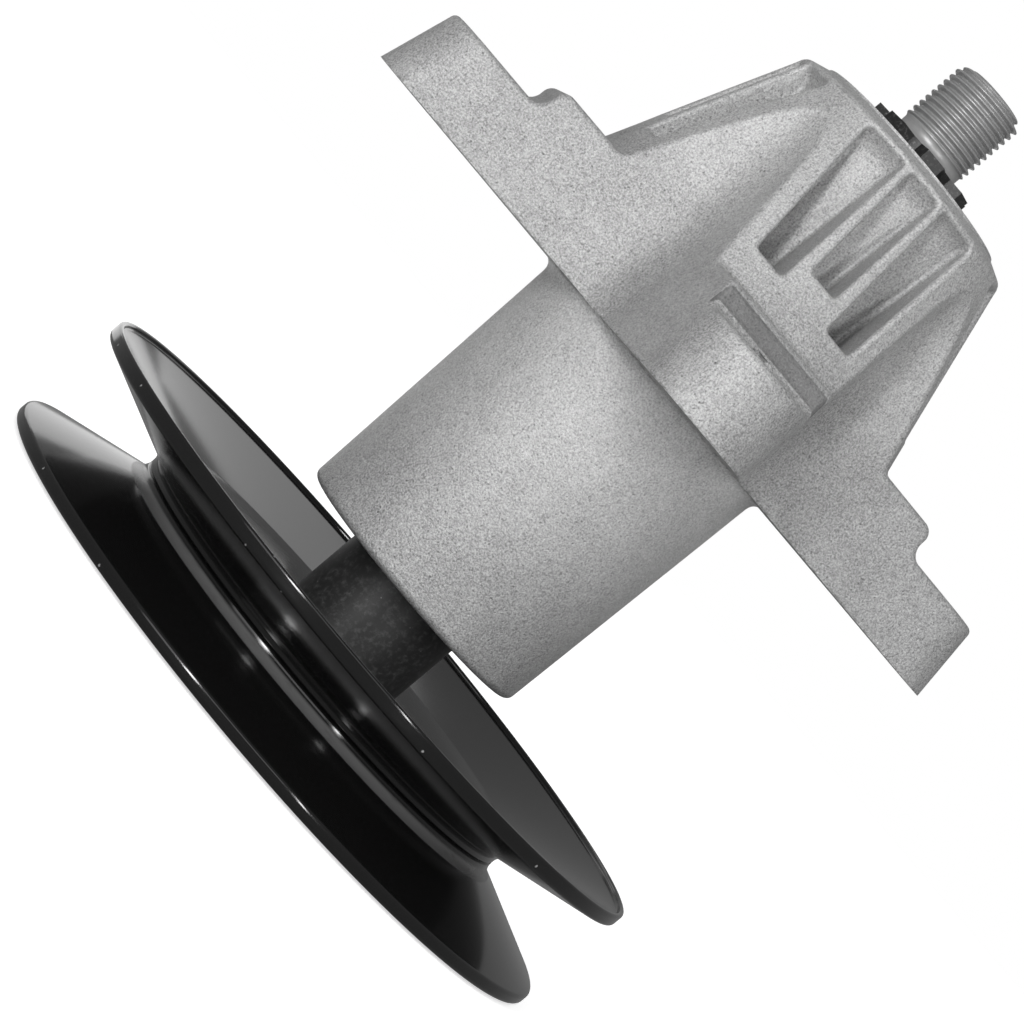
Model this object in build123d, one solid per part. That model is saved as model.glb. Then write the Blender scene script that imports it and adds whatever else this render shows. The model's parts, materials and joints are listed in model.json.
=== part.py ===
"""Mower deck spindle: a die-cast housing with two ball bearings, a shaft and a V-belt pulley.

Millimetres. +Z runs along the shaft from the pulley to the blade end, and Z = 0 is the
pulley's lower rim, on which the spindle stands. The long arms of the flange lie along X
and the short ones along Y.
"""
from build123d import *
import os
from math import atan2, cos, radians, sin, tan

# Pulley, pressed from two sheets
PULLEY_DIAMETER = 140.4
PULLEY_HEIGHT = 25.0
PULLEY_SHEET = 2.5
GROOVE_FLOOR_DIAMETER = 95.4
GROOVE_FLOOR_HEIGHT = 4.4
GROOVE_FLOOR_FLAT = 0.15
RIM_LIP_HEIGHT = 2.7
WEB_CORNER = 0.4
DISH_CORNER = 4.0
RIM_ROUND = 0.8
HUB_DIAMETER = 60.0
HUB_RISE = 2.4
HUB_FLARE = 3.0

# Shaft
JOURNAL_DIAMETER = 17.0
THREAD_DIAMETER = 15.875
THREAD_CHAMFER = 1.5
BLADE_THREAD_LENGTH = 14.2
NECK_DIAMETER = 15.0
NECK_LENGTH = 2.3
DRIVE_FLATS = 13.2
JOURNAL_OVERLAP = 1.2
SHAFT_TAIL = 1.1

# Ball bearings, both alike
BEARING_DIAMETER = 40.0
BEARING_WIDTH = 12.0
INNER_RING_WALL = 3.45
OUTER_RING_WALL = 3.1
BALL_DIAMETER = 6.7
BALL_COUNT = 8
RACE_CLEARANCE = 0.05
CAGE_WALL = 1.8
CAGE_WIDTH = 8.4
CAGE_CLEARANCE = 0.2
SEAL_THICKNESS = 0.8
SEAL_RECESS = 0.5
SEAL_LIP_CLEARANCE = 0.08
SEAL_SEAT_DEPTH = 0.6

# Spacers, star, washer and nut
PULLEY_SPACER_DIAMETER = 27.4
PULLEY_SPACER_LENGTH = 17.6
BEARING_SPACER_DIAMETER = 22.0
SPACER_CLEARANCE = 0.1
STAR_DIAMETER = 24.6
STAR_ROOT_DIAMETER = 19.6
STAR_POINTS = 7
STAR_TIP_SHARE = 0.4
STAR_ROOT_SHARE = 0.22
STAR_HEIGHT = 4.4
STAR_COLLAR_HEIGHT = 1.4
WASHER_DIAMETER = 33.0
WASHER_THICKNESS = 1.6
WASHER_CLEARANCE = 0.3
NUT_ACROSS_FLATS = 23.8
NUT_HEIGHT = 9.2
NUT_CHAMFER_ANGLE = 30.0
BORE_CLEARANCE = 0.05

# Housing: barrel
BARREL_END_DIAMETER = 54.1
BARREL_ROOT_DIAMETER = 56.7
BARREL_LENGTH = 57.6
BARREL_END_ROUND = 1.5
BARREL_ROOT_FILLET = 2.0
PULLEY_SIDE_RECESS = 1.7
BLADE_SIDE_RECESS = 1.2
CORE_DIAMETER = 35.0
SEAT_CHAMFER = 0.8

# Housing: flange and arms
EAR_THICKNESS = 15.2
PAD_HEIGHT = 5.8
PAD_SPAN_X = 104.0
PAD_SPAN_Y = 100.0
PAD_ROUND = 2.4
PAD_FOOT_FILLET = 3.0
HOLE_PITCH_X = 133.35
HOLE_PITCH_Y = 107.95
HOLE_DIAMETER = 7.3
ARM_HALF_WIDTH = 23.2
ARM_TAPER = 11.3
ARM_CORNER_FILLET = 11.3
EAR_END_DRAFT = 10.7
ARM_SIDE_DRAFT = 0.6
EAR_EDGE_ROUND = 1.2

# Housing: cone above the flange
CONE_FOOT_DIAMETER = 79.6
CONE_TOP_DIAMETER = 54.0
CONE_HEIGHT = 37.1
CONE_EDGE_ROUND = 1.4
CONE_FOOT_FILLET = 1.6
RING_FOOT_DIAMETER = 46.0
RING_DIAMETER = 45.0
SHOULDER_RISE = 1.6
RING_HEIGHT = 0.5

# Housing: windows in the cone, three to an arm
WINDOW_PITCH = 9.15
WINDOW_WIDTH = 6.4
WINDOW_DRAFT = 1.0
WINDOW_FLARE = 1.6
WINDOW_OUTER_FLARE = 4.0
WINDOW_CORNER = 0.9
WINDOW_RIM_ROUND = 0.8
WINDOW_SILL_SIDE = 6.7
WINDOW_SILL_MIDDLE = 11.2
WINDOW_CORE_DIAMETER = 49.0
WINDOW_TOP_MARGIN = 0.7
WINDOW_RUNOUT_ANGLE = 50.0
WINDOW_RUNOUT_ROUND = 5.0

# Heights that follow from the sizes above
WEB_PLANE = PULLEY_HEIGHT / 2
HUB_TOP = WEB_PLANE + HUB_RISE + PULLEY_SHEET
HUB_BOTTOM = WEB_PLANE + HUB_RISE - PULLEY_SHEET
WASHER_BOTTOM = HUB_BOTTOM - WASHER_THICKNESS
NUT_BOTTOM = WASHER_BOTTOM - NUT_HEIGHT
SHAFT_BOTTOM = NUT_BOTTOM - SHAFT_TAIL
LOWER_BEARING = HUB_TOP + PULLEY_SPACER_LENGTH
BARREL_END = LOWER_BEARING - PULLEY_SIDE_RECESS
FLANGE_BOTTOM = BARREL_END + BARREL_LENGTH
EAR_TOP = FLANGE_BOTTOM + EAR_THICKNESS
PAD_TOP = EAR_TOP + PAD_HEIGHT
CONE_TOP = PAD_TOP + CONE_HEIGHT
HOUSING_TOP = CONE_TOP + SHOULDER_RISE + RING_HEIGHT
UPPER_BEARING = HOUSING_TOP - BLADE_SIDE_RECESS - BEARING_WIDTH
STAR_BOTTOM = UPPER_BEARING + BEARING_WIDTH
STAR_TOP = STAR_BOTTOM + STAR_HEIGHT
THREAD_START = STAR_TOP + NECK_LENGTH
SHAFT_TOP = THREAD_START + BLADE_THREAD_LENGTH

JOURNAL_RADIUS = JOURNAL_DIAMETER / 2
THREAD_RADIUS = THREAD_DIAMETER / 2
BEARING_RADIUS = BEARING_DIAMETER / 2


def ring(outer, inner, low, high):
    """A plain ring between two radii and two heights."""
    return turned([(inner, low), (outer, low), (outer, high), (inner, high)])


def turned(points):
    """A closed outline of (radius, height) points turned about the shaft's axis."""
    outline = Polyline(*[(r, 0, z) for r, z in points], close=True)
    return revolve(make_face(outline), Axis.Z)


def disc(radius, low, high):
    """A plain cylinder on the shaft's axis."""
    return Pos(0, 0, low) * Cylinder(radius, high - low, align=(Align.CENTER, Align.CENTER, Align.MIN))


def end_radius(reach, half_width):
    """Radius of the round end that touches both sides of a tapered arm of this reach."""
    side = (half_width - reach * tan(radians(ARM_TAPER))) * cos(radians(ARM_TAPER))
    return side / (1 - sin(radians(ARM_TAPER)))


def arm_plan(reach_x, reach_y, half_width):
    """Plan of the four arms: tapered sides, round ends and hollow fillets between them."""
    slope = sin(radians(ARM_TAPER))
    flank = cos(radians(ARM_TAPER))
    end_x = end_radius(reach_x, half_width)
    end_y = end_radius(reach_y, half_width)
    centre_x = reach_x - end_x
    centre_y = reach_y - end_y
    corner = half_width / (1 + tan(radians(ARM_TAPER)))
    edges = []
    for sx, sy in ((1, 1), (-1, 1), (-1, -1), (1, -1)):
        on_x = (sx * (centre_x + end_x * slope), sy * end_x * flank)
        on_y = (sx * end_y * flank, sy * (centre_y + end_y * slope))
        inner = (sx * corner, sy * corner)
        edges += [Line(on_x, inner), Line(inner, on_y)]
    for side in (1, -1):
        x = side * (centre_x + end_x * slope)
        y = side * (centre_y + end_y * slope)
        edges.append(ThreePointArc((x, -end_x * flank), (side * reach_x, 0), (x, end_x * flank)))
        edges.append(ThreePointArc((-end_y * flank, y), (0, side * reach_y), (end_y * flank, y)))
    face = make_face(edges)
    inner_corners = face.vertices().sort_by_distance((0, 0, 0))[:4]
    return fillet(inner_corners, ARM_CORNER_FILLET)


def arm_reach(pitch):
    """How far an arm reaches when its round end is centred on its bolt hole."""
    slope = sin(radians(ARM_TAPER))
    flank = cos(radians(ARM_TAPER))
    return pitch / 2 * (1 - slope) + ARM_HALF_WIDTH * flank


def arm_prism():
    """The arms' outline carried up to the top of the cone, with draft on ends and sides."""
    height = HOUSING_TOP - FLANGE_BOTTOM
    back = height * tan(radians(EAR_END_DRAFT))
    narrow = height * tan(radians(ARM_SIDE_DRAFT))
    reach_x = arm_reach(HOLE_PITCH_X)
    reach_y = arm_reach(HOLE_PITCH_Y)
    low = arm_plan(reach_x, reach_y, ARM_HALF_WIDTH)
    high = arm_plan(reach_x - back, reach_y - back, ARM_HALF_WIDTH - narrow)
    return loft([Pos(0, 0, FLANGE_BOTTOM) * low, Pos(0, 0, HOUSING_TOP) * high], ruled=True)


def stepped_block():
    """Slab of the ears with the raised pad on it and the cone on the pad."""
    span = 2 * HOLE_PITCH_X
    thick = EAR_TOP - FLANGE_BOTTOM
    slab = Pos(0, 0, FLANGE_BOTTOM + thick / 2) * Box(span, span, thick)
    pad_height = PAD_TOP - FLANGE_BOTTOM
    pad = Pos(0, 0, FLANGE_BOTTOM + pad_height / 2) * Box(PAD_SPAN_X, PAD_SPAN_Y, pad_height)
    pad = fillet(pad.edges().group_by(Axis.Z)[-1], PAD_ROUND)
    block = slab + pad
    foot = [e for e in block.edges().filter_by_position(Axis.Z, EAR_TOP - 0.01, EAR_TOP + 0.01)
            if e.length < span - 1]
    block = fillet(foot, PAD_FOOT_FILLET)
    foot_r = CONE_FOOT_DIAMETER / 2
    top_r = CONE_TOP_DIAMETER / 2
    ring_r = RING_FOOT_DIAMETER / 2
    cone = turned([(0, FLANGE_BOTTOM), (foot_r, FLANGE_BOTTOM), (foot_r, PAD_TOP), (top_r, CONE_TOP),
                   (ring_r, CONE_TOP + SHOULDER_RISE), (0, CONE_TOP + SHOULDER_RISE)])
    edge = cone.edges().filter_by(GeomType.CIRCLE).filter_by_position(Axis.Z, CONE_TOP - 0.01, CONE_TOP + 0.01)
    cone = fillet(edge, CONE_EDGE_ROUND)
    block = block + cone
    root = block.edges().filter_by(GeomType.CIRCLE).filter_by_position(Axis.Z, PAD_TOP - 0.01, PAD_TOP + 0.01)
    root = [e for e in root if e.radius > top_r]
    return fillet(root, CONE_FOOT_FILLET)


def window_core():
    """What the pockets leave standing: the bearing's wall, running out to the face near the top."""
    wall = WINDOW_CORE_DIAMETER / 2
    slope = (CONE_FOOT_DIAMETER - CONE_TOP_DIAMETER) / 2 / CONE_HEIGHT
    end_r = CONE_TOP_DIAMETER / 2 + WINDOW_TOP_MARGIN * slope
    runout = tan(radians(WINDOW_RUNOUT_ANGLE))
    bend = CONE_TOP - WINDOW_TOP_MARGIN - (end_r - wall) / runout
    top = HOUSING_TOP + 1
    core = turned([(0, PAD_TOP), (wall, PAD_TOP), (wall, bend), (wall + (top - bend) * runout, top), (0, top)])
    edge = core.edges().filter_by(GeomType.CIRCLE).filter_by_position(Axis.Z, bend - 0.01, bend + 0.01)
    return fillet(edge, WINDOW_RUNOUT_ROUND)


def window(offset, sill, left_flare, right_flare, core):
    """One pocket, drawn along -Y with a little draft, its inner corners and sill rounded."""
    outside = CONE_FOOT_DIAMETER / 2 + 2
    inside = WINDOW_CORE_DIAMETER / 2 - 6
    low = PAD_TOP + sill
    high = CONE_TOP + SHOULDER_RISE
    left = (high - low) * tan(radians(left_flare))
    right = (high - low) * tan(radians(right_flare))
    faces = []
    for depth in (outside, inside):
        half = WINDOW_WIDTH / 2 - (CONE_FOOT_DIAMETER / 2 - depth) * tan(radians(WINDOW_DRAFT))
        corners = [(offset - half, -depth, low), (offset + half, -depth, low),
                   (offset + half + right, -depth, high), (offset - half - left, -depth, high)]
        faces.append(make_face(Polyline(*corners, close=True)))
    pocket = loft(faces, ruled=True) - core
    rounded = []
    for edge in pocket.edges():
        middle = edge.center()
        on_core = core.distance_to(middle) < 0.001 and middle.Z < high - 0.01
        on_sill = middle.Z < low + 0.01 and middle.Y > 0.5 - outside
        if on_core or on_sill:
            rounded.append(edge)
    return fillet(rounded, WINDOW_CORNER)


def arm_windows():
    """The three pockets of the arm on the -Y side."""
    core = window_core()
    cut = window(0, WINDOW_SILL_MIDDLE, WINDOW_FLARE, WINDOW_FLARE, core)
    cut += window(-WINDOW_PITCH, WINDOW_SILL_SIDE, WINDOW_OUTER_FLARE, WINDOW_FLARE, core)
    cut += window(WINDOW_PITCH, WINDOW_SILL_SIDE, WINDOW_FLARE, WINDOW_OUTER_FLARE, core)
    return cut


def barrel():
    """Drafted barrel round the pulley-side bearing."""
    end_r = BARREL_END_DIAMETER / 2
    root_r = BARREL_ROOT_DIAMETER / 2
    top = FLANGE_BOTTOM + EAR_THICKNESS / 2
    body = turned([(0, BARREL_END), (end_r, BARREL_END), (root_r, FLANGE_BOTTOM), (root_r, top), (0, top)])
    edge = body.edges().filter_by(GeomType.CIRCLE).filter_by_position(Axis.Z, BARREL_END - 0.01, BARREL_END + 0.01)
    return fillet(edge, BARREL_END_ROUND)


def barrel_root():
    """Hollow fillet between the barrel and the flange, kept inside the arms' outline."""
    low = FLANGE_BOTTOM - BARREL_ROOT_FILLET
    root_r = BARREL_ROOT_DIAMETER / 2
    flare = disc(root_r + BARREL_ROOT_FILLET, low, FLANGE_BOTTOM) - disc(root_r - 1, low, FLANGE_BOTTOM)
    flare -= Pos(0, 0, low) * Torus(root_r + BARREL_ROOT_FILLET, BARREL_ROOT_FILLET)
    plan = arm_plan(arm_reach(HOLE_PITCH_X), arm_reach(HOLE_PITCH_Y), ARM_HALF_WIDTH)
    return flare & (Pos(0, 0, low) * extrude(plan, BARREL_ROOT_FILLET))


def rounded_ears(body):
    """Rounds the ears' upper edges; the rounding runs on over the pads."""
    edges = []
    for edge in body.edges().filter_by_position(Axis.Z, EAR_TOP - 0.01, EAR_TOP + 0.01):
        middle = edge.center()
        if (middle.X**2 + middle.Y**2)**0.5 > HOLE_PITCH_Y / 2 + 5:
            edges.append(edge)
    return fillet(edges, EAR_EDGE_ROUND)


def rounded_rims(body):
    """Rounds the windows' rims in the face of the cone."""
    slope = (CONE_FOOT_DIAMETER - CONE_TOP_DIAMETER) / 2 / CONE_HEIGHT
    reach = WINDOW_PITCH + WINDOW_WIDTH
    edges = []
    for edge in body.edges():
        middle = edge.center()
        face_r = CONE_TOP_DIAMETER / 2 + (CONE_TOP - middle.Z) * slope
        on_face = abs((middle.X**2 + middle.Y**2)**0.5 - face_r) < 0.02
        if on_face and PAD_TOP + 3 < middle.Z < CONE_TOP - 0.3 and min(abs(middle.X), abs(middle.Y)) < reach:
            edges.append(edge)
    return fillet(edges, WINDOW_RIM_ROUND)


def housing():
    """The casting: arms, cone, windows, barrel, bearing seats and bolt holes."""
    body = rounded_ears(arm_prism() & stepped_block())
    cut = arm_windows()
    for quarter in range(4):
        body -= Rot(0, 0, 90 * quarter) * cut
    body = rounded_rims(body)
    top_ring = disc(RING_DIAMETER / 2, CONE_TOP, HOUSING_TOP)
    body = body + barrel() + barrel_root() + top_ring
    body -= disc(CORE_DIAMETER / 2, BARREL_END - 1, HOUSING_TOP + 1)
    body -= disc(BEARING_RADIUS, BARREL_END - 1, LOWER_BEARING + BEARING_WIDTH)
    body -= disc(BEARING_RADIUS, UPPER_BEARING, HOUSING_TOP + 1)
    for level, way in ((BARREL_END, 1), (HOUSING_TOP, -1)):
        wide = BEARING_RADIUS + SEAT_CHAMFER
        body -= turned([(0, level), (wide, level), (BEARING_RADIUS, level + way * SEAT_CHAMFER),
                        (0, level + way * SEAT_CHAMFER)])
    for x, y in ((HOLE_PITCH_X / 2, 0), (-HOLE_PITCH_X / 2, 0), (0, HOLE_PITCH_Y / 2), (0, -HOLE_PITCH_Y / 2)):
        body -= Pos(x, y, 0) * disc(HOLE_DIAMETER / 2, FLANGE_BOTTOM - 1, EAR_TOP + 1)
    return body


def bearing_profiles(low):
    """Rings, balls, cage and seals of one bearing whose lower face is at this height."""
    middle = low + BEARING_WIDTH / 2
    high = low + BEARING_WIDTH
    inner_r = JOURNAL_RADIUS + INNER_RING_WALL
    outer_r = BEARING_RADIUS - OUTER_RING_WALL
    pitch_r = (inner_r + outer_r) / 2
    ball_r = BALL_DIAMETER / 2
    race = Pos(0, 0, middle) * Torus(pitch_r, ball_r + RACE_CLEARANCE)
    inner = ring(inner_r, JOURNAL_RADIUS, low, high) - race
    outer = ring(BEARING_RADIUS, outer_r, low, high) - race
    parts = {"inner_ring": inner}
    seals = {}
    seat_r = outer_r + SEAL_SEAT_DEPTH
    for name, start in (("lower_seal", low + SEAL_RECESS), ("upper_seal", high - SEAL_RECESS - SEAL_THICKNESS)):
        seals[name] = ring(seat_r, inner_r + SEAL_LIP_CLEARANCE, start, start + SEAL_THICKNESS)
    outer -= ring(seat_r, outer_r - 1, low - 1, low + SEAL_RECESS + SEAL_THICKNESS)
    outer -= ring(seat_r, outer_r - 1, high - SEAL_RECESS - SEAL_THICKNESS, high + 1)
    parts["outer_ring"] = outer
    parts.update(seals)
    cage = ring(pitch_r + CAGE_WALL / 2, pitch_r - CAGE_WALL / 2, middle - CAGE_WIDTH / 2, middle + CAGE_WIDTH / 2)
    balls = []
    for place in PolarLocations(pitch_r, BALL_COUNT):
        at = Pos(0, 0, middle) * place
        balls.append(at * Sphere(ball_r))
        cage -= at * Rot(0, 90, 0) * Cylinder(ball_r + CAGE_CLEARANCE, 2 * CAGE_WALL)
    parts["cage"] = cage
    parts["balls"] = Compound(children=balls)
    return parts


def shaft():
    """Shaft turned from bar: journal, threads at both ends and two flats for the pulley."""
    step = HUB_TOP + JOURNAL_OVERLAP
    body = turned([
        (0, SHAFT_BOTTOM), (THREAD_RADIUS - THREAD_CHAMFER, SHAFT_BOTTOM),
        (THREAD_RADIUS, SHAFT_BOTTOM + THREAD_CHAMFER), (THREAD_RADIUS, step),
        (JOURNAL_RADIUS, step), (JOURNAL_RADIUS, STAR_TOP),
        (NECK_DIAMETER / 2, STAR_TOP), (NECK_DIAMETER / 2, THREAD_START),
        (THREAD_RADIUS, THREAD_START), (THREAD_RADIUS, SHAFT_TOP - THREAD_CHAMFER),
        (THREAD_RADIUS - THREAD_CHAMFER, SHAFT_TOP), (0, SHAFT_TOP)])
    flats = disc(JOURNAL_DIAMETER, WASHER_BOTTOM, step)
    flats -= Pos(0, 0, (WASHER_BOTTOM + step) / 2) * Box(DRIVE_FLATS, 4 * JOURNAL_DIAMETER, 4 * JOURNAL_DIAMETER)
    return body - flats


def drive_bore(low, high):
    """Hole with two flats that lets the pulley turn with the shaft."""
    hole = disc(THREAD_RADIUS + BORE_CLEARANCE, low, high)
    width = DRIVE_FLATS + 2 * BORE_CLEARANCE
    return hole & Pos(0, 0, (low + high) / 2) * Box(width, 2 * JOURNAL_DIAMETER, high - low)


def star_driver():
    """Star collar on the journal that drives the blade through its star-shaped hole."""
    tip = STAR_DIAMETER / 2
    root = STAR_ROOT_DIAMETER / 2
    points = []
    for i in range(2 * STAR_POINTS):
        on_tip = i % 2 == 0
        radius = tip if on_tip else root
        share = STAR_TIP_SHARE if on_tip else STAR_ROOT_SHARE
        for lean in (-1, 1):
            angle = radians(180 / STAR_POINTS * (i + lean * share) - 90)
            points.append((radius * cos(angle), radius * sin(angle)))
    star = extrude(make_face(Polyline(*points, close=True)), STAR_HEIGHT - STAR_COLLAR_HEIGHT)
    body = Pos(0, 0, STAR_BOTTOM + STAR_COLLAR_HEIGHT) * star
    body += disc(root, STAR_BOTTOM, STAR_TOP)
    return body - disc(JOURNAL_RADIUS, STAR_BOTTOM, STAR_TOP)


def groove_slope():
    """Angle of the groove's walls, from the heights of its floor and of its mouth."""
    rise = (PULLEY_HEIGHT - GROOVE_FLOOR_HEIGHT) / 2 - RIM_LIP_HEIGHT
    return atan2(rise, (PULLEY_DIAMETER - GROOVE_FLOOR_DIAMETER) / 2)


def groove_corner():
    """Radius that rounds the groove's floor almost completely."""
    room = GROOVE_FLOOR_HEIGHT / 2 - WEB_CORNER - GROOVE_FLOOR_FLAT
    return room / tan((radians(90) - groove_slope()) / 2)


def pulley_wall_points(way):
    """Groove floor, wall and rim of one sheet, going out and back to the web's free face."""
    rim = PULLEY_DIAMETER / 2
    floor = GROOVE_FLOOR_DIAMETER / 2
    rim_high = PULLEY_HEIGHT / 2
    bend = rim - (rim_high - PULLEY_SHEET) / tan(groove_slope())
    heights = [(floor, 0), (floor, GROOVE_FLOOR_HEIGHT / 2), (rim, rim_high - RIM_LIP_HEIGHT),
               (rim, rim_high), (bend, PULLEY_SHEET)]
    return [(r, WEB_PLANE + way * z) for r, z in heights]


def rounded_sheet(points, radii):
    """Sheet turned from an outline whose corners have their own radii, by corner number."""
    outline = Polyline(*[(r, 0, z) for r, z in points], close=True)
    face = make_face(outline)
    for index, radius in radii:
        r, z = points[index]
        corner = face.vertices().sort_by_distance((r, 0, z))[0]
        face = fillet(corner, radius)
    return revolve(face, Axis.Z)


def pulley_halves():
    """Two pressed sheets, web to web, with one raised hub nested in the other."""
    hub = HUB_DIAMETER / 2
    foot = hub + HUB_FLARE
    upper_points = [(0, WEB_PLANE + HUB_RISE), (hub, WEB_PLANE + HUB_RISE), (foot, WEB_PLANE)]
    upper_points += pulley_wall_points(1)
    upper_points += [(foot, WEB_PLANE + PULLEY_SHEET), (hub, HUB_TOP), (0, HUB_TOP)]
    lower_points = [(0, WEB_PLANE + HUB_RISE), (hub, WEB_PLANE + HUB_RISE), (foot, WEB_PLANE)]
    lower_points += pulley_wall_points(-1)
    lower_points += [(foot, WEB_PLANE - PULLEY_SHEET), (hub, HUB_BOTTOM), (0, HUB_BOTTOM)]
    radii = [(3, WEB_CORNER), (4, groove_corner()), (5, RIM_ROUND), (6, RIM_ROUND), (7, DISH_CORNER)]
    bore = drive_bore(NUT_BOTTOM, LOWER_BEARING)
    return [rounded_sheet(points, radii) - bore for points in (upper_points, lower_points)]


def washer():
    """Flat washer between the pulley and its nut."""
    return ring(WASHER_DIAMETER / 2, THREAD_RADIUS + WASHER_CLEARANCE, WASHER_BOTTOM, HUB_BOTTOM)


def nut():
    """Thin hexagon nut, chamfered on both faces."""
    flat_r = NUT_ACROSS_FLATS / 2
    corner_r = flat_r / cos(radians(30))
    drop = (corner_r - flat_r) * tan(radians(NUT_CHAMFER_ANGLE))
    body = extrude(RegularPolygon(flat_r, 6, major_radius=False), NUT_HEIGHT)
    body = Pos(0, 0, NUT_BOTTOM) * body
    low = NUT_BOTTOM
    high = WASHER_BOTTOM
    body &= turned([(0, low), (flat_r, low), (corner_r, low + drop), (corner_r, high - drop),
                    (flat_r, high), (0, high)])
    return body - disc(THREAD_RADIUS, low, high)


def build():
    """All pieces by node name."""
    pieces = {"housing": housing(), "shaft": shaft(), "star_driver": star_driver()}
    upper, lower = pulley_halves()
    pieces["pulley_upper_half"] = upper
    pieces["pulley_lower_half"] = lower
    pieces["pulley_washer"] = washer()
    pieces["pulley_nut"] = nut()
    pieces["pulley_spacer"] = ring(PULLEY_SPACER_DIAMETER / 2, JOURNAL_RADIUS + SPACER_CLEARANCE,
                                   HUB_TOP, LOWER_BEARING)
    pieces["bearing_spacer"] = ring(BEARING_SPACER_DIAMETER / 2, JOURNAL_RADIUS + SPACER_CLEARANCE,
                                    LOWER_BEARING + BEARING_WIDTH, UPPER_BEARING)
    for side, level in (("lower", LOWER_BEARING), ("upper", UPPER_BEARING)):
        for name, solid in bearing_profiles(level).items():
            pieces[f"{side}_bearing_{name}"] = solid
    return pieces


os.makedirs("parts", exist_ok=True)
for node, solid in build().items():
    export_step(solid, f"parts/{node}.step")
    print(node, round(solid.volume, 1))
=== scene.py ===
# %% [markdown]
# # A mower deck spindle
#
# The part carries a mower's blade. A die-cast housing is bolted to the deck by four arms, and
# a steel shaft turns in it on two ball bearings. A V-belt drives the pulley at one end, and
# the blade sits on the star at the other. The solids come from CAD, so this script keeps
# them and adds what a lathe, a die and a spray gun leave on them.

# %% Load the frame
import json
from math import cos, pi, radians, sin

import bpy
import numpy as np
from mathutils import Matrix, Quaternion, Vector


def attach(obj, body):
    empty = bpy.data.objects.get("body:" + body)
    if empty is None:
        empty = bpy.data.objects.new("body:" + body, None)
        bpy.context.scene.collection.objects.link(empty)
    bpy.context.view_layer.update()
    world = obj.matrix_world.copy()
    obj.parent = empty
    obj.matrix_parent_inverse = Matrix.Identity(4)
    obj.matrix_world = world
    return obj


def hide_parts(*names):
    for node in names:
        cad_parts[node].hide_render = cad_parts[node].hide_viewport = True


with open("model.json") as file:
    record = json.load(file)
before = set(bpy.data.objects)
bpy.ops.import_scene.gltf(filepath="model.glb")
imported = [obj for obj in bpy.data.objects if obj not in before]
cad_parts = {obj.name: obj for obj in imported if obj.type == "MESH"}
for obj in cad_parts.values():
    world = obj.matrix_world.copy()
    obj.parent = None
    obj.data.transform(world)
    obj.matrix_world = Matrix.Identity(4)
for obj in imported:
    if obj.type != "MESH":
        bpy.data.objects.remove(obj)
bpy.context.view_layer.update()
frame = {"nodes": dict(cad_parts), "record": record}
MM = 0.001

# %% [markdown]
# ## The camera
#
# The picture was taken level with the middle of the spindle and then turned, so that the
# shaft lies across the frame. The camera stands to the left of the front arm. It is
# built from its three axes: forward, right and up, which are then rolled about forward.

# %% Place the camera
CAMERA_DISTANCE = 640 * MM
CAMERA_HEIGHT = 84.8 * MM
CAMERA_AZIMUTH = radians(9.9)
FOCAL_PIXELS = 3535.0
FRAME_PIXELS = 1024
AIM_BELOW = 158.4
AIM_RIGHT = 8.0
ROLL = radians(-49.9)

level_forward = Vector((sin(CAMERA_AZIMUTH), cos(CAMERA_AZIMUTH), 0))
level_right = Vector((cos(CAMERA_AZIMUTH), -sin(CAMERA_AZIMUTH), 0))
forward = level_forward * FOCAL_PIXELS + level_right * AIM_RIGHT - Vector((0, 0, AIM_BELOW))
forward.normalize()
right = forward.cross(Vector((0, 0, 1))).normalized()
up = right.cross(forward)
turn = Matrix.Rotation(ROLL, 3, forward)
right, up = turn @ right, turn @ up

camera_data = bpy.data.cameras.new("camera")
camera_data.sensor_width = 36.0
camera_data.lens = FOCAL_PIXELS / FRAME_PIXELS * camera_data.sensor_width
camera_data.clip_start = 0.05
camera = bpy.data.objects.new("camera", camera_data)
bpy.context.collection.objects.link(camera)
place = -level_forward * CAMERA_DISTANCE + Vector((0, 0, CAMERA_HEIGHT))
axes = Matrix((right, up, -forward)).transposed().to_4x4()
camera.matrix_world = Matrix.Translation(place) @ axes
bpy.context.scene.camera = camera
print("lens in mm:", round(camera_data.lens, 1))

# %% [markdown]
# ## Shader maths as expressions
#
# A finish is easier to read as a formula than as a web of nodes. The class below wraps an
# output socket, so that `1 - mask` or `grain * 0.3` adds the Math nodes. Everything else,
# such as a noise texture, comes from one method that takes the node's type, its
# settings and what goes into its sockets.

# %% Wrap sockets and materials
class Wire:
    """A number on a node's output. Arithmetic with it adds Math nodes to the same tree."""

    def __init__(self, finish, socket):
        self.finish = finish
        self.socket = socket

    def math(self, operation, *values):
        return self.finish.node("ShaderNodeMath", {"operation": operation}, dict(enumerate(values)))

    def __add__(self, other):
        return self.math("ADD", self, other)

    def __radd__(self, other):
        return self.math("ADD", other, self)

    def __sub__(self, other):
        return self.math("SUBTRACT", self, other)

    def __rsub__(self, other):
        return self.math("SUBTRACT", other, self)

    def __mul__(self, other):
        return self.math("MULTIPLY", self, other)

    def __rmul__(self, other):
        return self.math("MULTIPLY", other, self)

    def __truediv__(self, other):
        return self.math("DIVIDE", self, other)

    def __abs__(self):
        return self.math("ABSOLUTE", self)

    def step(self, low, high):
        """0 below low and 1 above high, with a smooth rise between them."""
        settings = {"interpolation_type": "SMOOTHSTEP"}
        inputs = {"Value": self, "From Min": low, "From Max": high}
        return self.finish.node("ShaderNodeMapRange", settings, inputs)

    def band(self, centre, width, soft):
        """1 within half a width of centre, falling to 0 over a soft edge."""
        return 1 - abs(self - centre).step(width / 2, width / 2 + soft)


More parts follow.
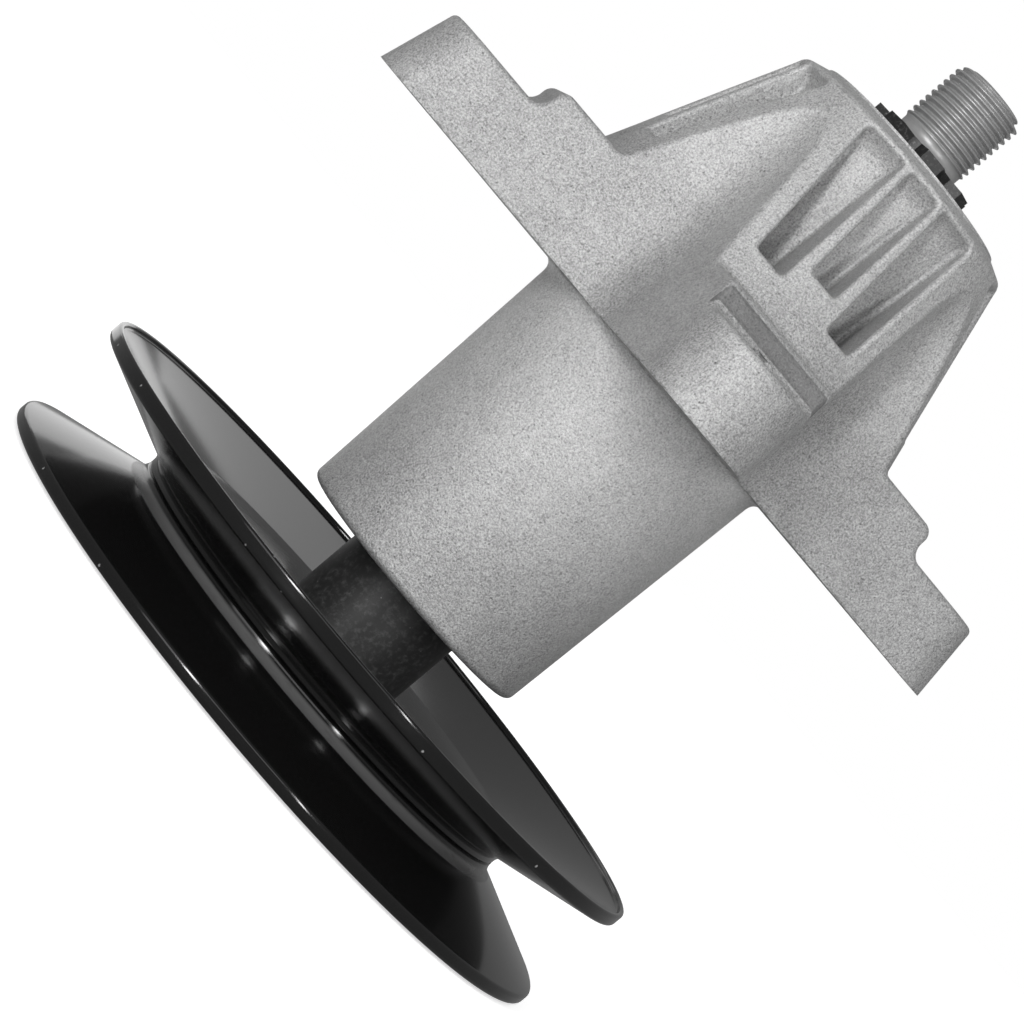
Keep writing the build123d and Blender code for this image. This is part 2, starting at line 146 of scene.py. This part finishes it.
class Finish:
    """A material under construction. Positions come in millimetres of the object's frame."""

    def __init__(self, name, **sockets):
        self.material = bpy.data.materials.new(name)
        self.material.use_nodes = True
        self.tree = self.material.node_tree
        self.shader = self.tree.nodes["Principled BSDF"]
        for socket, value in sockets.items():
            self.plug(self.shader.inputs[socket.replace("_", " ").title()], value)
        place = self.node("ShaderNodeTexCoord", output="Object")
        inputs = {0: place, "Scale": 1 / MM}
        self.place = self.node("ShaderNodeVectorMath", {"operation": "SCALE"}, inputs)
        split = self.node("ShaderNodeSeparateXYZ", inputs={0: self.place}).socket.node
        self.x, self.y, self.z = (Wire(self, socket) for socket in split.outputs)
        square = self.x * self.x + self.y * self.y
        self.radius = square.math("SQRT", square)

    def plug(self, socket, value):
        if isinstance(value, Wire):
            self.tree.links.new(value.socket, socket)
        else:
            socket.default_value = value

    def node(self, kind, settings=None, inputs=None, output=0):
        """Any node: its type, its settings, its sockets by name or number, and one output."""
        made = self.tree.nodes.new(kind)
        for name, value in (settings or {}).items():
            setattr(made, name, value)
        for name, value in (inputs or {}).items():
            self.plug(made.inputs[name], value)
        return Wire(self, made.outputs[output])

    def noise(self, size, detail=2.0, roughness=0.5, stretch=(1, 1, 1), seed=0.0):
        """Cloudy noise about 0.5, with blotches of this size in millimetres."""
        inputs = {0: self.place, 1: stretch}
        place = self.node("ShaderNodeVectorMath", {"operation": "MULTIPLY"}, inputs)
        settings = {"noise_dimensions": "4D"}
        inputs = {"Vector": place, "W": seed, "Scale": 1 / size, "Detail": detail, "Roughness": roughness}
        return self.node("ShaderNodeTexNoise", settings, inputs, "Fac")

    def cells(self, size, seed=0.0):
        """Distance from the nearest of scattered points, about 0 to 1 of the cells' size."""
        inputs = {0: self.place, 1: (73 * seed, 31 * seed, 57 * seed)}
        place = self.node("ShaderNodeVectorMath", {"operation": "ADD"}, inputs)
        inputs = {"Vector": place, "Scale": 1 / size}
        return self.node("ShaderNodeTexVoronoi", {}, inputs, "Distance")

    def mix(self, factor, first, second):
        """Colour that goes from the first to the second as factor goes from 0 to 1."""
        settings = {"data_type": "RGBA"}
        return self.node("ShaderNodeMix", settings, {0: factor, 6: first, 7: second}, 2)

    def bump(self, height, depth, normal=None):
        """Normal tilted by a height of this many millimetres at 1."""
        inputs = {"Height": height, "Distance": depth * MM, "Strength": 1.0}
        if normal is not None:
            inputs["Normal"] = normal
        return self.node("ShaderNodeBump", inputs=inputs)

    def set(self, **sockets):
        for socket, value in sockets.items():
            self.plug(self.shader.inputs[socket.replace("_", " ").title()], value)


def grey(value):
    return (value, value, value, 1.0)


# %% [markdown]
# ## The casting
#
# Die-cast aluminium that has been blasted with shot: a light grey skin, finely pitted and
# a little cloudy. Painted light and shade lie over it: lighter up the barrel toward the
# flange and so darker toward the pulley, darker again on the flange, and lighter on the cone
# above the pads. The end faces of the short arms' pads carry painted shade, a dark grey
# mottled by the cloud. Where the halves of the die met, along the foot of the flange, a thin
# ragged line of flash stays dark, with small bright chips beside it.

# %% Finish the casting
BARREL_LOW = 30.0
BARREL_HIGH = 89.0
FLANGE_FOOT = 90.9
PAD_MIDDLE = 108.7
PAD_TOP = 112.0
PAD_END = 50.0

casting = Finish("cast_alloy", metallic=0.35)
cloud = casting.noise(8.0, detail=4.0, roughness=0.6)
leather = casting.noise(1.1, detail=3.0, roughness=0.6, seed=3.0)
grain = casting.noise(0.36, detail=3.0, roughness=0.65)
pits = 1 - casting.cells(0.9).step(0.05, 0.3)
ragged = casting.noise(1.7, detail=4.0, roughness=0.7)
flash = casting.z.band(FLANGE_FOOT, 0.3, 0.3) * ragged.step(0.45, 0.6)
chips = casting.z.band(FLANGE_FOOT + 0.4, 0.7, 0.4) * (1 - casting.cells(2.6, 4.0).step(0.05, 0.1))
# painted light and shade: lighter up the barrel, darker on the flange, lighter on the cone above the pads
painted_light_and_shade = 0.12 * casting.z.step(BARREL_LOW, BARREL_HIGH)
painted_light_and_shade = painted_light_and_shade - 0.11 * casting.z.step(FLANGE_FOOT - 0.5, FLANGE_FOOT + 0.3)
painted_light_and_shade = painted_light_and_shade + 0.05 * casting.z.step(PAD_TOP, PAD_TOP + 12)
speckle = 0.14 * (cloud - 0.5) + 0.14 * (leather - 0.5) + 0.9 * (grain - 0.5) - 0.08 * pits
tone = 0.315 + painted_light_and_shade + speckle
# painted shade: the end faces of the short arms' pads are darkened to a mottled dark grey
pad_painted_shade = abs(casting.y).band(PAD_END, 0.7, 0.2) * casting.z.band(PAD_MIDDLE, 4.6, 0.4)
skin = casting.mix(tone, grey(0.0), grey(1.0))
skin = casting.mix(pad_painted_shade * (0.5 + 0.5 * cloud), skin, grey(0.08))
skin = casting.mix(flash * 0.5, skin, grey(0.05))
skin = casting.mix(chips * 0.6, skin, grey(0.8))
relief = leather * 1.2 + grain * 0.9 - pits * 0.4
casting.set(base_color=skin, roughness=0.52 + 0.2 * (grain - 0.5), normal=casting.bump(relief, 0.15))
casting.shader.inputs["Specular IOR Level"].default_value = 0.5

# %% [markdown]
# ## The gloss black pulley
#
# Two pressed sheets under a thick coat of gloss black. The paint has a faint orange
# peel. In the corner of the groove it is lighter and duller, partly where the belt's edge
# has rubbed it and partly a painted sheen. The rims have lost small chips.

# %% Finish the pulley
RIM_RADIUS = 70.2
CORNER_HEIGHT = 9.8
CORNER_RADIUS = 48.4

paint = Finish("pulley_black", metallic=0.0)
peel = paint.noise(3.2, detail=2.0)
dust = paint.noise(0.35, detail=2.0)
lip = paint.radius.step(RIM_RADIUS - 1.2, RIM_RADIUS - 0.3)
chip = lip * (1 - paint.cells(4.0, 2.0).step(0.03, 0.09)) * dust.step(0.35, 0.55)
# partly belt wear and partly a painted sheen: the corner of the groove is made lighter and duller
belt_wear_and_sheen = paint.z.band(CORNER_HEIGHT, 2.2, 0.6) * paint.radius.band(CORNER_RADIUS, 2.0, 0.5)
belt_wear_and_sheen = belt_wear_and_sheen * paint.noise(6.0, detail=4.0, roughness=0.7, stretch=(1, 1, 6)).step(0.0, 0.5)
paint.set(
    base_color=paint.mix(chip, paint.mix(belt_wear_and_sheen, grey(0.005), grey(0.09)), grey(0.25)),
    roughness=0.12 + 0.04 * (dust - 0.5) + 0.14 * belt_wear_and_sheen + 0.3 * chip,
    normal=paint.bump(peel, 0.006),
)

# %% [markdown]
# ## Steel
#
# The shaft and its rolled thread have dulled to an even mid grey. The star was blackened
# in oil and the spacer is a mottled dark grey with a few light specks. The nut, washer
# and cages are plated, and the bearings' rings and balls are ground.

# %% Finish the steel pieces
steel = Finish("shaft_steel", metallic=0.4)
rings = steel.noise(0.3, detail=2.0, stretch=(0.02, 0.02, 1.0))
smear = steel.noise(2.5, detail=3.0)
steel.set(
    base_color=steel.mix(0.5 + 0.4 * (rings - 0.5) + 0.5 * (smear - 0.5), grey(0.2), grey(0.38)),
    roughness=0.4 + 0.15 * (smear - 0.5),
    normal=steel.bump(rings, 0.005),
)

oxide = Finish("black_oxide", metallic=0.3)
wear = oxide.noise(0.7, detail=4.0, roughness=0.7)
oxide.set(
    base_color=oxide.mix(wear.step(0.5, 0.75), grey(0.015), grey(0.12)),
    roughness=0.42 + 0.3 * (wear - 0.5),
    normal=oxide.bump(wear, 0.03),
)

collar = Finish("spacer_grey", metallic=0.2)
mottle = collar.noise(1.1, detail=5.0, roughness=0.7)
specks = 1 - collar.cells(2.6, 1.0).step(0.03, 0.07)
collar.set(
    base_color=collar.mix(specks * 0.6 + mottle.step(0.45, 0.8) * 0.25, grey(0.015), grey(0.25)),
    roughness=0.5 + 0.3 * (mottle - 0.5),
    normal=collar.bump(mottle, 0.03),
)

zinc = Finish("zinc_plate", metallic=1.0)
bloom = zinc.noise(1.4, detail=4.0, roughness=0.6)
zinc.set(
    base_color=zinc.mix(bloom, grey(0.4), grey(0.62)),
    roughness=0.3 + 0.2 * (bloom - 0.5),
    normal=zinc.bump(bloom, 0.01),
)

ground = Finish("bearing_steel", metallic=1.0)
lines = ground.noise(0.25, detail=2.0, stretch=(1.0, 1.0, 0.05))
ground.set(
    base_color=ground.mix(lines, grey(0.5), grey(0.66)),
    roughness=0.2 + 0.12 * (lines - 0.5),
    normal=ground.bump(lines, 0.004),
)

rubber = Finish("seal_rubber", metallic=0.0)
mould = rubber.noise(0.6, detail=3.0)
rubber.set(
    base_color=rubber.mix(mould, grey(0.012), grey(0.03)),
    roughness=0.55 + 0.2 * (mould - 0.5),
    normal=rubber.bump(mould, 0.02),
)

# %% Give every CAD node its finish
FINISHES = {
    "cast_alloy": casting,
    "shaft_steel": steel,
    "black_oxide": oxide,
    "pulley_black": paint,
    "spacer_grey": collar,
    "zinc_plate": zinc,
    "bearing_steel": ground,
    "ball_steel": ground,
    "cage_steel": zinc,
    "seal_rubber": rubber,
}
for part in frame["record"]["subparts"]:
    node = frame["nodes"][part["node"]]
    node.data.materials.clear()
    node.data.materials.append(FINISHES[part["material_slot"]].material)
print("finished nodes:", len(frame["nodes"]))

# %% [markdown]
# ## The thread
#
# A rolled thread is a V wound round a cylinder, and the surface of the whole shaft is
# a radius that depends on height and angle. One grid of points carries it: the outline
# gives the radius at each height, and the thread takes a little off where its helix runs.

# %% Build the shaft with its threads
def add_mesh(name, points, faces):
    """Smooth object from points in millimetres and a list of faces."""
    mesh = bpy.data.meshes.new(name)
    mesh.from_pydata((points * MM).tolist(), [], faces)
    mesh.shade_smooth()
    made = bpy.data.objects.new(name, mesh)
    bpy.context.collection.objects.link(made)
    return made


def ring_quads(rows, around, lower, upper):
    """Quads between two rows of points that each run once round the axis."""
    i, j = np.meshgrid(np.arange(rows), np.arange(around), indexing="ij")
    side = (j + 1) % around
    low, high = lower(i) * around, upper(i) * around
    return np.stack([low + j, low + side, high + side, high + j], axis=-1).reshape(-1, 4)


THREAD_RADIUS = 7.9375
THREAD_PITCH = 25.4 / 18
THREAD_DEPTH = 0.8
DRIVE_FLATS = 13.2
FLATS_FROM = 10.8
FLATS_TO = 18.6


def helix_groove(angle, height, start, end):
    """Depth of a V thread: the distance from the nearest crest of z = pitch * angle / 2 pi,
    as a share of half a pitch, flattened at crest and root, and faded in at both ends."""
    phase = np.mod(height / THREAD_PITCH - angle / (2 * pi), 1.0)
    valley = 1 - np.abs(2 * phase - 1)
    shape = np.clip((valley - 0.16) / 0.68, 0, 1)
    shape = shape * shape * (3 - 2 * shape) * 0.35 + shape * 0.65
    fade = np.clip((height - start) / 0.9, 0, 1) * np.clip((end - height) / 0.3, 0, 1)
    return THREAD_DEPTH * shape * fade


def lathe_grid(name, heights, radii, around, groove):
    """Closed surface r(z, a) = radii(z) - groove(a, z) on a grid of heights and angles,
    with a point on the axis at each end."""
    angle = np.linspace(0, 2 * pi, around, endpoint=False)
    grid_angle, grid_height = np.meshgrid(angle, heights)
    radius = radii[:, None] - groove(grid_angle, grid_height)
    flat = DRIVE_FLATS / 2 / np.maximum(np.abs(np.cos(grid_angle)), 0.01)
    on_flats = (grid_height > FLATS_FROM) & (grid_height < FLATS_TO)
    radius = np.where(on_flats, np.minimum(radius, flat), radius)
    points = np.stack([radius * np.cos(grid_angle), radius * np.sin(grid_angle), grid_height], axis=-1)
    points = points.reshape(-1, 3)
    ends = np.array([[0, 0, heights[0]], [0, 0, heights[-1]]])
    rows = len(heights)
    quads = ring_quads(rows - 1, around, lambda i: i, lambda i: i + 1)
    j = np.arange(around)
    k = (j + 1) % around
    first, last, top = rows * around, rows * around + 1, (rows - 1) * around
    low = np.stack([np.full(around, first), k, j], axis=-1)
    high = np.stack([np.full(around, last), top + j, top + k], axis=-1)
    return add_mesh(name, np.concatenate([points, ends]), quads.tolist() + low.tolist() + high.tolist())


SHAFT_OUTLINE = [
    (0.5, 6.4375), (2.0, 7.9375), (18.6, 7.9375), (18.61, 8.5), (154.3, 8.5),
    (154.31, 7.5), (156.4, 7.5), (156.8, 7.9375), (169.3, 7.9375), (170.8, 6.4375),
]
outline = np.array(SHAFT_OUTLINE)
coarse = np.concatenate([outline[:, 0], np.linspace(18.7, 154.2, 40)])
fine = np.concatenate([np.arange(0.5, 11.0, THREAD_PITCH / 14), np.arange(156.4, 170.8, THREAD_PITCH / 18)])
heights = np.unique(np.round(np.concatenate([coarse, fine]), 4))
radii = np.interp(heights, outline[:, 0], outline[:, 1])


def both_threads(angle, height):
    """The pulley's thread at the lower end and the blade's thread at the upper end."""
    lower = helix_groove(angle, height, -1.0, 11.0) * (height < 11.5)
    upper = helix_groove(angle, height, 156.4, 172.0) * (height > 156.0)
    return lower + upper


shaft = lathe_grid("threaded_shaft", heights, radii, 96, both_threads)
shaft.data.materials.append(steel.material)
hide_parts("shaft")
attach(shaft, "rotor")
print("shaft faces:", len(shaft.data.polygons))

# %% [markdown]
# ## The pulley's two sheets
#
# Gloss paint shows every facet, so each sheet is turned again with far more of them. Its
# outline is a list of corners with a radius at each, and the arcs are worked out from it.

# %% Build the two sheets
HALF_HEIGHT = 12.5
GROOVE_FLOOR = 47.7
FLOOR_HALF = 2.2
MOUTH_HALF = 9.8
HUB_RADIUS = 30.0
HUB_FOOT = 33.0
HUB_LIFT = 2.4
SHEET = 2.5
BORE = 8.0
DISH_FLOOR = 4.4
LIP_WALL = 1.1
LIP_DEPTH = 0.9
LOWER_DISH_RADIUS = 40.6

# radius, height over the pulley's middle, corner radius
UPPER_SHEET = [
    (BORE, HUB_LIFT, 0), (HUB_RADIUS, HUB_LIFT, 0.4), (HUB_FOOT, 0, 0.4), (GROOVE_FLOOR, 0, 0.3),
    (GROOVE_FLOOR, FLOOR_HALF, 2.3), (RIM_RADIUS, MOUTH_HALF, 0.8), (RIM_RADIUS, HALF_HEIGHT, 0.5),
    (RIM_RADIUS - LIP_WALL, HALF_HEIGHT, 0.45), (RIM_RADIUS - LIP_WALL, HALF_HEIGHT - LIP_DEPTH, 0.4),
    (GROOVE_FLOOR - 0.7, DISH_FLOOR, 2.0), (HUB_FOOT + 1.5, DISH_FLOOR, 0.3),
    (HUB_FOOT, HUB_LIFT + SHEET, 0.3),
    (BORE, HUB_LIFT + SHEET, 0),
]
LOWER_SHEET = [
    (BORE, HUB_LIFT, 0), (HUB_RADIUS, HUB_LIFT, 0.4), (HUB_FOOT, 0, 0.4), (GROOVE_FLOOR, 0, 0.3),
    (GROOVE_FLOOR, -FLOOR_HALF, 3.0), (RIM_RADIUS, -MOUTH_HALF, 0.8), (RIM_RADIUS, -HALF_HEIGHT, 0.8),
    (LOWER_DISH_RADIUS, -SHEET, 4.0), (HUB_FOOT, -SHEET, 0.4), (HUB_RADIUS, HUB_LIFT - SHEET, 0.4),
    (BORE, HUB_LIFT - SHEET, 0),
]


def rounded_outline(corners, steps=7, spacing=2.5):
    """Closed outline with an arc in each corner. At a corner of angle a the arc of radius q
    starts q / tan(a/2) from it and its centre c lies q / sin(a/2) away. With w = pi - a, the
    arc is c + (sin((1-t)w) (start - c) + sin(tw) (end - c)) / sin(w). Straight runs get
    points near both ends and every few millimetres, which keeps them flat when shaded."""
    corner = np.array([(r, h) for r, h, _ in corners], dtype=float)
    size = np.array([max(q, 0.02) for _, _, q in corners])
    back = np.roll(corner, 1, axis=0) - corner
    ahead = np.roll(corner, -1, axis=0) - corner
    back /= np.linalg.norm(back, axis=1)[:, None]
    ahead /= np.linalg.norm(ahead, axis=1)[:, None]
    half = np.arccos(np.clip((back * ahead).sum(axis=1), -1, 1)) / 2
    middle = back + ahead
    middle /= np.linalg.norm(middle, axis=1)[:, None]
    centre = corner + middle * (size / np.sin(half))[:, None]
    start = corner + back * (size / np.tan(half))[:, None]
    end = corner + ahead * (size / np.tan(half))[:, None]
    turn = pi - 2 * half
    share = np.linspace(0, 1, steps)[None, :, None]
    wide = turn[:, None, None]
    from_start = np.sin((1 - share) * wide) * (start - centre)[:, None]
    from_end = np.sin(share * wide) * (end - centre)[:, None]
    arcs = (from_start + from_end) / np.sin(wide) + centre[:, None]
    outline = []
    for arc, from_point, to_point in zip(arcs, end, np.roll(start, -1, axis=0)):
        outline.append(arc)
        length = np.linalg.norm(to_point - from_point)
        if length > 0.8:
            inner = np.arange(spacing, length - spacing / 2, spacing)
            places = np.concatenate([[0.2], inner, [length - 0.2]]) / length
            outline.append(from_point + places[:, None] * (to_point - from_point))
    return np.concatenate(outline)


def turned_piece(name, outline, around):
    """Closed ring of quads: each outline point (r, z) goes to (r cos a, r sin a, z)."""
    angle = np.linspace(0, 2 * pi, around, endpoint=False)
    radius, height = outline[:, 0][:, None], outline[:, 1][:, None]
    points = np.stack([radius * np.cos(angle), radius * np.sin(angle), height + 0 * angle], axis=-1)
    rows = len(outline)
    quads = ring_quads(rows, around, lambda i: i, lambda i: (i + 1) % rows)
    return add_mesh(name, points.reshape(-1, 3), quads.tolist())


for node, corners in (("pulley_upper_half", UPPER_SHEET), ("pulley_lower_half", LOWER_SHEET)):
    outline = rounded_outline(corners) + np.array([0, HALF_HEIGHT])
    next_point = np.roll(outline, -1, axis=0)
    area = (outline[:, 0] * next_point[:, 1] - next_point[:, 0] * outline[:, 1]).sum()
    if area < 0:
        outline = outline[::-1]
    sheet = turned_piece(node.replace("half", "sheet"), outline, 288)
    sheet.data.materials.append(paint.material)
    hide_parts(node)
    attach(sheet, "rotor")
    print(sheet.name, "faces:", len(sheet.data.polygons))

# %% [markdown]
# ## Floor and light
#
# The floor and the world look white to the camera, and the floor still takes a soft
# shadow. Gloss paint shows what stands round it, so mirrored rays meet a dark floor and
# a dark world. A narrow key on the left and a side lamp on the right draw the streaks on
# the groove's floor, two wider lamps fill, and three small cards behind the spindle are
# what the pulley's dish and the groove's left side reflect.

# %% Lay the floor
floor_mesh = bpy.data.meshes.new("floor")
REACH = 3.0
FLOOR_DROP = 0.0002
corners = [(-REACH, -REACH), (REACH, -REACH), (REACH, REACH), (-REACH, REACH)]
floor_mesh.from_pydata([(x, y, -FLOOR_DROP) for x, y in corners], [], [(0, 1, 2, 3)])
floor = bpy.data.objects.new("floor", floor_mesh)
bpy.context.collection.objects.link(floor)

pale = Finish("floor_pale", base_color=grey(0.8), roughness=0.9)
seen = pale.node("ShaderNodeLightPath", output="Is Camera Ray")
lit = Wire(pale, pale.shader.outputs[0])
glow = pale.node("ShaderNodeEmission", inputs={"Color": grey(1.0), "Strength": 0.62})
both = pale.node("ShaderNodeAddShader", inputs={0: lit, 1: glow})
surface = pale.node("ShaderNodeMixShader", inputs={0: seen, 1: lit, 2: both})
glossy = pale.node("ShaderNodeLightPath", output="Is Glossy Ray")
dull = pale.node("ShaderNodeEmission", inputs={"Color": grey(1.0), "Strength": 0.22})
surface = pale.node("ShaderNodeMixShader", inputs={0: glossy, 1: surface, 2: dull})
pale.plug(pale.tree.nodes["Material Output"].inputs["Surface"], surface)
floor_mesh.materials.append(pale.material)

# %% Light the studio
world = bpy.data.worlds.new("studio")
world.use_nodes = True
bpy.context.scene.world = world
sky = world.node_tree
background = sky.nodes["Background"]
path = sky.nodes.new("ShaderNodeLightPath")


def sky_math(operation, first, second):
    """One Math node of the world, whose inputs are sockets or numbers."""
    made = sky.nodes.new("ShaderNodeMath")
    made.operation = operation
    for socket, value in zip(made.inputs, (first, second)):
        if isinstance(value, float):
            socket.default_value = value
        else:
            sky.links.new(value, socket)
    return made.outputs[0]


FILL_LEVEL = 0.6
MIRRORED_LEVEL = 0.24
fill = sky_math("MULTIPLY", path.outputs["Is Diffuse Ray"], FILL_LEVEL)
unseen = sky_math("MAXIMUM", fill, MIRRORED_LEVEL)
level = sky_math("MAXIMUM", path.outputs["Is Camera Ray"], unseen)
background.inputs["Color"].default_value = grey(1.0)
sky.links.new(level, background.inputs["Strength"])


def soft_lamp(name, azimuth, elevation, distance, size, power, roll=0):
    """Area lamp that faces the spindle's middle. Azimuth is 0 behind the camera, negative to
    the left and 180 behind the spindle, and roll turns the lamp in its own plane."""
    a = radians(azimuth) - CAMERA_AZIMUTH
    e = radians(elevation)
    way = Vector((sin(a) * cos(e), -cos(a) * cos(e), sin(e)))
    data = bpy.data.lights.new(name, "AREA")
    data.shape = "RECTANGLE"
    data.size, data.size_y = size
    data.energy = power
    lamp = bpy.data.objects.new(name, data)
    bpy.context.collection.objects.link(lamp)
    lamp.location = Vector((0, 0, CAMERA_HEIGHT)) + way * distance
    facing = way.to_track_quat("Z", "Y") @ Quaternion((0, 0, 1), radians(roll))
    lamp.rotation_euler = facing.to_euler()


soft_lamp("key", -21, 8, 1.2, (0.1, 0.9), 9)
soft_lamp("key_wide", -30, 8, 1.3, (0.6, 0.9), 3)
soft_lamp("front", 3, 22, 1.2, (0.7, 0.35), 1.4)
soft_lamp("side", 27, 8, 1.2, (0.06, 0.9), 5)
soft_lamp("card_left", 187, 9, 0.145, (0.12, 0.04), 0.013, roll=-35)
soft_lamp("card_right", 160, 8, 0.145, (0.08, 0.04), 0.005, roll=35)
soft_lamp("card_low", 211, -18, 0.165, (0.14, 0.052), 0.02)
bpy.context.scene.view_settings.view_transform = "Standard"
